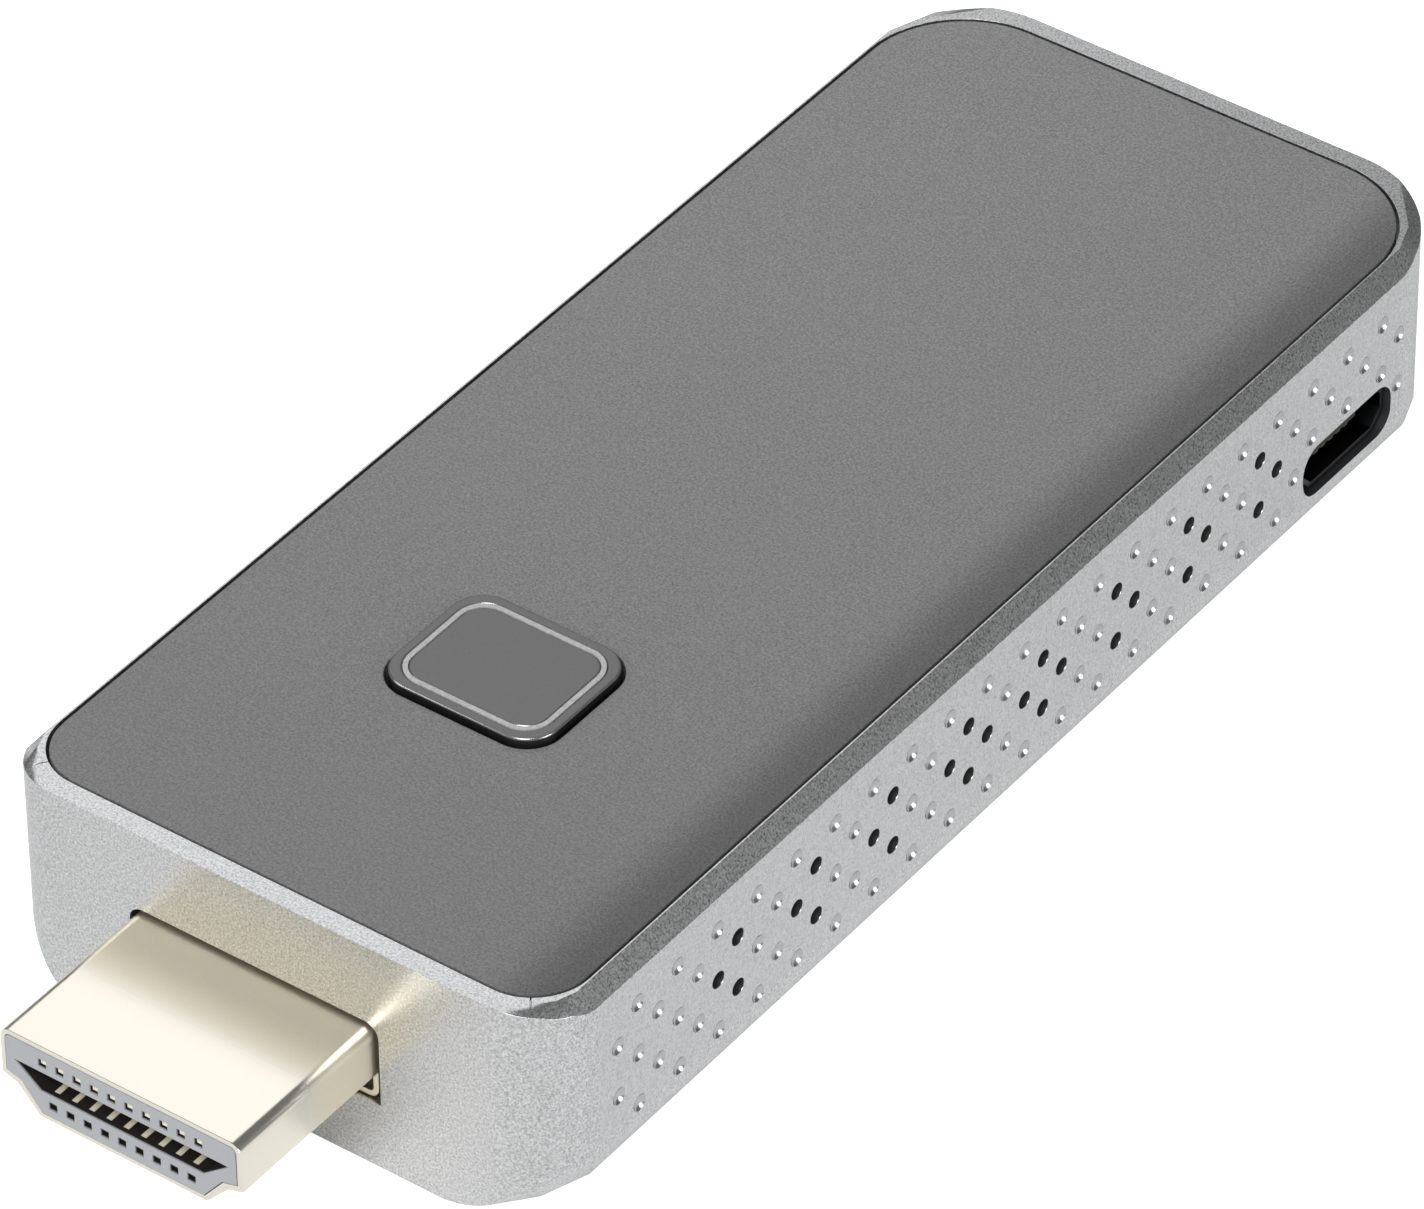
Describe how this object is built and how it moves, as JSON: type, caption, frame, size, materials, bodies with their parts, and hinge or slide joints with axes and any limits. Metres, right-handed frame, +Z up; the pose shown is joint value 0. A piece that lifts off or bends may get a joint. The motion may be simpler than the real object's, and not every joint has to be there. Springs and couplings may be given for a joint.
{
  "type": "wireless presentation dongle",
  "caption": "Stick-shaped wireless video sender with a fixed plug at one end, a push button on its cover and a power inlet in its side.",
  "frame": {"origin": "middle of the whole object's outline seen from above, on the underside it rests on", "axes": "+Y from the plug to the far end, +Z up through the cover, +X towards the side with the power inlet"},
  "size_m": [0.032, 0.0848, 0.0137],
  "materials": {
    "silver_metal": "satin fine-grained silver",
    "grey_cover": "fine-grained dark grey, satin",
    "grey_button": "satin dark grey",
    "pale_ring": "pale satin",
    "black_plastic": "matte moulded",
    "tinned_steel": "bright tinned sheet",
    "dark_plastic": "matte moulded",
    "spring_steel": "thin spring sheet",
    "pale_gold": "polished pale gold plating",
    "grey_insulator": "matte blue-grey",
    "gold_contacts": "bright gold plating",
    "green_board": "green lacquered laminate",
    "chip_black": "matte moulded",
    "thermal_pad": "soft matte pad",
    "heatsink_metal": "plain extruded",
    "blue_board": "blue lacquered laminate",
    "ferrite": "matte pressed ferrite",
    "can_aluminium": "plain drawn can",
    "ceramic_tan": "fired ceramic",
    "led_lens": "clear moulded",
    "antenna_brass": "stamped sheet",
    "port_steel": "bright plated sheet",
    "screw_steel": "plated steel",
    "amber_film": "amber film"
  },
  "bodies": {
    "casing": {"tray": "silver_metal", "top_cover": "grey_cover", "switch_base": "black_plastic", "switch_frame": "tinned_steel", "switch_dome": "spring_steel", "plug_shell": "pale_gold", "plug_insulator": "grey_insulator", "upper_contacts": "gold_contacts", "lower_contacts": "gold_contacts", "main_board": "green_board", "video_chip": "chip_black", "thermal_pad": "thermal_pad", "heatsink": "heatsink_metal", "memory_chip_1": "chip_black", "memory_chip_2": "chip_black", "flash_chip": "chip_black", "radio_board": "blue_board", "radio_shield": "tinned_steel", "crystal": "tinned_steel", "coil_1": "ferrite", "coil_2": "ferrite", "power_chip": "chip_black", "tank_capacitor_1": "can_aluminium", "tank_capacitor_2": "can_aluminium", "small_capacitors": "ceramic_tan", "status_led": "led_lens", "antenna_1": "antenna_brass", "antenna_2": "antenna_brass", "port_shell": "port_steel", "port_tongue": "black_plastic", "port_contacts": "gold_contacts", "board_screws": "screw_steel", "insulating_sheet": "amber_film"},
    "button": {"button_cap": "grey_button", "button_ring": "pale_ring", "switch_plunger": "dark_plastic"}
  },
  "joints": [
    {"name": "button_press", "type": "slide", "parent": "casing", "child": "button", "axis": [0, 0, -1], "range_m": [0, 0.0003], "stiffness_N_per_m": 4000, "deforming": ["switch_dome"]}
  ]
}
